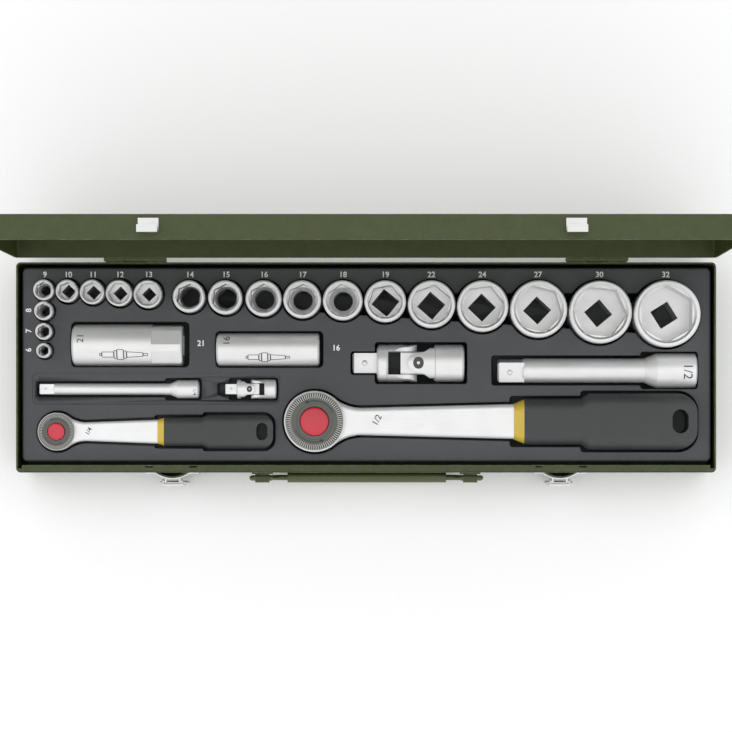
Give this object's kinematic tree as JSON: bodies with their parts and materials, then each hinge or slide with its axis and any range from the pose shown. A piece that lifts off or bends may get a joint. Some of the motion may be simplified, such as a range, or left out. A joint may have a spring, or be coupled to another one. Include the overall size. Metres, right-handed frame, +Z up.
{
  "type": "socket wrench set in case",
  "caption": "Flat hinged steel case, open, with a moulded tray holding sockets, ratchets, extensions and universal joints, each free to lift out and turn.",
  "frame": {"origin": "centre of the base's flat underside", "axes": "+X along the case's long side to the right, +Y to the hinged back, +Z up out of the open case"},
  "size_m": [0.446, 0.1609, 0.1876],
  "materials": {
    "olive_paint": "satin olive enamel on steel sheet",
    "tray_plastic": "satin dark grey vacuum-formed sheet",
    "bright_plate": "bright nickel plate",
    "pin_steel": "plain machined steel",
    "insert_rubber": "black rubber",
    "grip_plastic": "dark grey fine-textured handle plastic",
    "collar_plastic": "yellow ring",
    "dial_coating": "grey-green satin",
    "button_plastic": "red gloss",
    "tool_chrome": "satin chrome plate"
  },
  "bodies": {
    "case": {"case_base": "olive_paint", "tray_insert": "tray_plastic", "hinge_base_leaves": "olive_paint", "hinge_pins": "pin_steel", "latch_plates": "bright_plate", "handle_brackets": "olive_paint"},
    "handle": {"handle_bail": "olive_paint", "handle_grip": "olive_paint"},
    "lid": {"case_lid": "olive_paint", "hinge_lid_leaves": "olive_paint", "latch_keepers": "bright_plate"},
    "lever_left": {"latch_lever_left": "bright_plate"},
    "lever_right": {"latch_lever_right": "bright_plate"},
    "bail_left": {"latch_bail_left": "bright_plate"},
    "bail_right": {"latch_bail_right": "bright_plate"},
    "socket_06": {"socket_06": "tool_chrome"},
    "socket_07": {"socket_07": "tool_chrome"},
    "socket_08": {"socket_08": "tool_chrome"},
    "socket_09": {"socket_09": "tool_chrome"},
    "socket_10": {"socket_10": "tool_chrome"},
    "socket_11": {"socket_11": "tool_chrome"},
    "socket_12": {"socket_12": "tool_chrome"},
    "socket_13": {"socket_13": "tool_chrome"},
    "socket_14": {"socket_14": "tool_chrome"},
    "socket_15": {"socket_15": "tool_chrome"},
    "socket_16": {"socket_16": "tool_chrome"},
    "socket_17": {"socket_17": "tool_chrome"},
    "socket_18": {"socket_18": "tool_chrome"},
    "socket_19": {"socket_19": "tool_chrome"},
    "socket_22": {"socket_22": "tool_chrome"},
    "socket_24": {"socket_24": "tool_chrome"},
    "socket_27": {"socket_27": "tool_chrome"},
    "socket_30": {"socket_30": "tool_chrome"},
    "socket_32": {"socket_32": "tool_chrome"},
    "spark_21": {"spark_socket_21": "tool_chrome", "spark_insert_21": "insert_rubber"},
    "spark_16": {"spark_socket_16": "tool_chrome", "spark_insert_16": "insert_rubber"},
    "extension_quarter": {"extension_quarter": "tool_chrome"},
    "extension_half": {"extension_half": "tool_chrome"},
    "ujoint_half": {"ujoint_half_driver": "tool_chrome"},
    "ujoint_half_cross": {"ujoint_half_cross": "pin_steel"},
    "ujoint_half_socket": {"ujoint_half_socket": "tool_chrome"},
    "ujoint_quarter": {"ujoint_quarter_driver": "tool_chrome"},
    "ujoint_quarter_cross": {"ujoint_quarter_cross": "pin_steel"},
    "ujoint_quarter_socket": {"ujoint_quarter_socket": "tool_chrome"},
    "ratchet_half": {"ratchet_half_body": "tool_chrome", "ratchet_half_collar": "collar_plastic", "ratchet_half_grip": "grip_plastic"},
    "ratchet_half_drive": {"ratchet_half_drive": "tool_chrome"},
    "ratchet_half_dial": {"ratchet_half_dial": "dial_coating", "ratchet_half_pawl": "pin_steel"},
    "ratchet_half_button": {"ratchet_half_button": "button_plastic"},
    "ratchet_quarter": {"ratchet_quarter_body": "tool_chrome", "ratchet_quarter_collar": "collar_plastic", "ratchet_quarter_grip": "grip_plastic"},
    "ratchet_quarter_drive": {"ratchet_quarter_drive": "tool_chrome"},
    "ratchet_quarter_dial": {"ratchet_quarter_dial": "dial_coating", "ratchet_quarter_pawl": "pin_steel"},
    "ratchet_quarter_button": {"ratchet_quarter_button": "button_plastic"}
  },
  "joints": [
    {"name": "lid_hinge", "type": "hinge", "parent": "case", "child": "lid", "pos_m": [0, 0.0694, 0.0422], "axis": [-1, 0, 0], "range_deg": [-90, 0]},
    {"name": "handle_swing", "type": "hinge", "parent": "case", "child": "handle", "pos_m": [0, -0.0706, 0.034], "axis": [-1, 0, 0], "range_deg": [0, 100]},
    {"name": "lever_left_swing", "type": "hinge", "parent": "case", "child": "lever_left", "pos_m": [-0.124, -0.0729, 0.032], "axis": [-1, 0, 0], "range_deg": [0, 110]},
    {"name": "bail_left_swing", "type": "hinge", "parent": "lever_left", "child": "bail_left", "pos_m": [-0.124, -0.0736, 0.026], "axis": [1, 0, 0], "range_deg": [-180, 0]},
    {"name": "lever_right_swing", "type": "hinge", "parent": "case", "child": "lever_right", "pos_m": [0.124, -0.0729, 0.032], "axis": [-1, 0, 0], "range_deg": [0, 110]},
    {"name": "bail_right_swing", "type": "hinge", "parent": "lever_right", "child": "bail_right", "pos_m": [0.124, -0.0736, 0.026], "axis": [1, 0, 0], "range_deg": [-180, 0]},
    {"name": "socket_06_lift", "type": "slide", "parent": "case", "child": "socket_06", "axis": [0, 0, 1], "range_m": [0, 0.06]},
    {"name": "socket_07_lift", "type": "slide", "parent": "case", "child": "socket_07", "axis": [0, 0, 1], "range_m": [0, 0.06]},
    {"name": "socket_08_lift", "type": "slide", "parent": "case", "child": "socket_08", "axis": [0, 0, 1], "range_m": [0, 0.06]},
    {"name": "socket_09_lift", "type": "slide", "parent": "case", "child": "socket_09", "axis": [0, 0, 1], "range_m": [0, 0.06]},
    {"name": "socket_10_lift", "type": "slide", "parent": "case", "child": "socket_10", "axis": [0, 0, 1], "range_m": [0, 0.06]},
    {"name": "socket_11_lift", "type": "slide", "parent": "case", "child": "socket_11", "axis": [0, 0, 1], "range_m": [0, 0.06]},
    {"name": "socket_12_lift", "type": "slide", "parent": "case", "child": "socket_12", "axis": [0, 0, 1], "range_m": [0, 0.06]},
    {"name": "socket_13_lift", "type": "slide", "parent": "case", "child": "socket_13", "axis": [0, 0, 1], "range_m": [0, 0.06]},
    {"name": "socket_14_lift", "type": "slide", "parent": "case", "child": "socket_14", "axis": [0, 0, 1], "range_m": [0, 0.06]},
    {"name": "socket_15_lift", "type": "slide", "parent": "case", "child": "socket_15", "axis": [0, 0, 1], "range_m": [0, 0.06]},
    {"name": "socket_16_lift", "type": "slide", "parent": "case", "child": "socket_16", "axis": [0, 0, 1], "range_m": [0, 0.06]},
    {"name": "socket_17_lift", "type": "slide", "parent": "case", "child": "socket_17", "axis": [0, 0, 1], "range_m": [0, 0.06]},
    {"name": "socket_18_lift", "type": "slide", "parent": "case", "child": "socket_18", "axis": [0, 0, 1], "range_m": [0, 0.06]},
    {"name": "socket_19_lift", "type": "slide", "parent": "case", "child": "socket_19", "axis": [0, 0, 1], "range_m": [0, 0.06]},
    {"name": "socket_22_lift", "type": "slide", "parent": "case", "child": "socket_22", "axis": [0, 0, 1], "range_m": [0, 0.06]},
    {"name": "socket_24_lift", "type": "slide", "parent": "case", "child": "socket_24", "axis": [0, 0, 1], "range_m": [0, 0.06]},
    {"name": "socket_27_lift", "type": "slide", "parent": "case", "child": "socket_27", "axis": [0, 0, 1], "range_m": [0, 0.06]},
    {"name": "socket_30_lift", "type": "slide", "parent": "case", "child": "socket_30", "axis": [0, 0, 1], "range_m": [0, 0.06]},
    {"name": "socket_32_lift", "type": "slide", "parent": "case", "child": "socket_32", "axis": [0, 0, 1], "range_m": [0, 0.06]},
    {"name": "spark_21_lift", "type": "slide", "parent": "case", "child": "spark_21", "axis": [0, 0, 1], "range_m": [0, 0.06]},
    {"name": "spark_16_lift", "type": "slide", "parent": "case", "child": "spark_16", "axis": [0, 0, 1], "range_m": [0, 0.06]},
    {"name": "extension_quarter_lift", "type": "slide", "parent": "case", "child": "extension_quarter", "axis": [0, 0, 1], "range_m": [0, 0.06]},
    {"name": "extension_half_lift", "type": "slide", "parent": "case", "child": "extension_half", "axis": [0, 0, 1], "range_m": [0, 0.06]},
    {"name": "ujoint_half_lift", "type": "slide", "parent": "case", "child": "ujoint_half", "axis": [0, 0, 1], "range_m": [0, 0.06]},
    {"name": "ujoint_half_bend", "type": "hinge", "parent": "ujoint_half", "child": "ujoint_half_cross", "pos_m": [0.026, 0.003, 0.029], "axis": [0, -1, 0], "range_deg": [0, 40]},
    {"name": "ujoint_half_yaw", "type": "hinge", "parent": "ujoint_half_cross", "child": "ujoint_half_socket", "pos_m": [0.0334, 0.003, 0.029], "axis": [0, 0, 1], "range_deg": [-2, 2]},
    {"name": "ujoint_quarter_lift", "type": "slide", "parent": "case", "child": "ujoint_quarter", "axis": [0, 0, 1], "range_m": [0, 0.06]},
    {"name": "ujoint_quarter_yaw", "type": "hinge", "parent": "ujoint_quarter", "child": "ujoint_quarter_cross", "pos_m": [-0.0745, -0.0137, 0.0335], "axis": [0, 0, 1], "range_deg": [-2, 2]},
    {"name": "ujoint_quarter_bend", "type": "hinge", "parent": "ujoint_quarter_cross", "child": "ujoint_quarter_socket", "pos_m": [-0.0705, -0.0137, 0.0335], "axis": [0, -1, 0], "range_deg": [0, 40]},
    {"name": "ratchet_half_lift", "type": "slide", "parent": "case", "child": "ratchet_half", "axis": [0, 0, 1], "range_m": [0, 0.06]},
    {"name": "ratchet_half_spin", "type": "hinge", "parent": "ratchet_half", "child": "ratchet_half_drive", "pos_m": [-0.0328, -0.0344, 0.03], "axis": [0, 0, 1], "continuous": true},
    {"name": "ratchet_half_reverse", "type": "hinge", "parent": "ratchet_half", "child": "ratchet_half_dial", "pos_m": [-0.0328, -0.0344, 0.04], "axis": [0, 0, 1], "range_deg": [-20, 20]},
    {"name": "ratchet_half_release", "type": "slide", "parent": "ratchet_half", "child": "ratchet_half_button", "axis": [0, 0, 1], "range_m": [-0.0025, 0], "stiffness_N_per_m": 800, "springref_m": 0.001},
    {"name": "ratchet_quarter_lift", "type": "slide", "parent": "case", "child": "ratchet_quarter", "axis": [0, 0, 1], "range_m": [0, 0.06]},
    {"name": "ratchet_quarter_spin", "type": "hinge", "parent": "ratchet_quarter", "child": "ratchet_quarter_drive", "pos_m": [-0.1972, -0.0409, 0.03], "axis": [0, 0, 1], "continuous": true},
    {"name": "ratchet_quarter_reverse", "type": "hinge", "parent": "ratchet_quarter", "child": "ratchet_quarter_dial", "pos_m": [-0.1972, -0.0409, 0.04], "axis": [0, 0, 1], "range_deg": [-20, 20]},
    {"name": "ratchet_quarter_release", "type": "slide", "parent": "ratchet_quarter", "child": "ratchet_quarter_button", "axis": [0, 0, 1], "range_m": [-0.0015, 0], "stiffness_N_per_m": 800, "springref_m": 0.001}
  ]
}
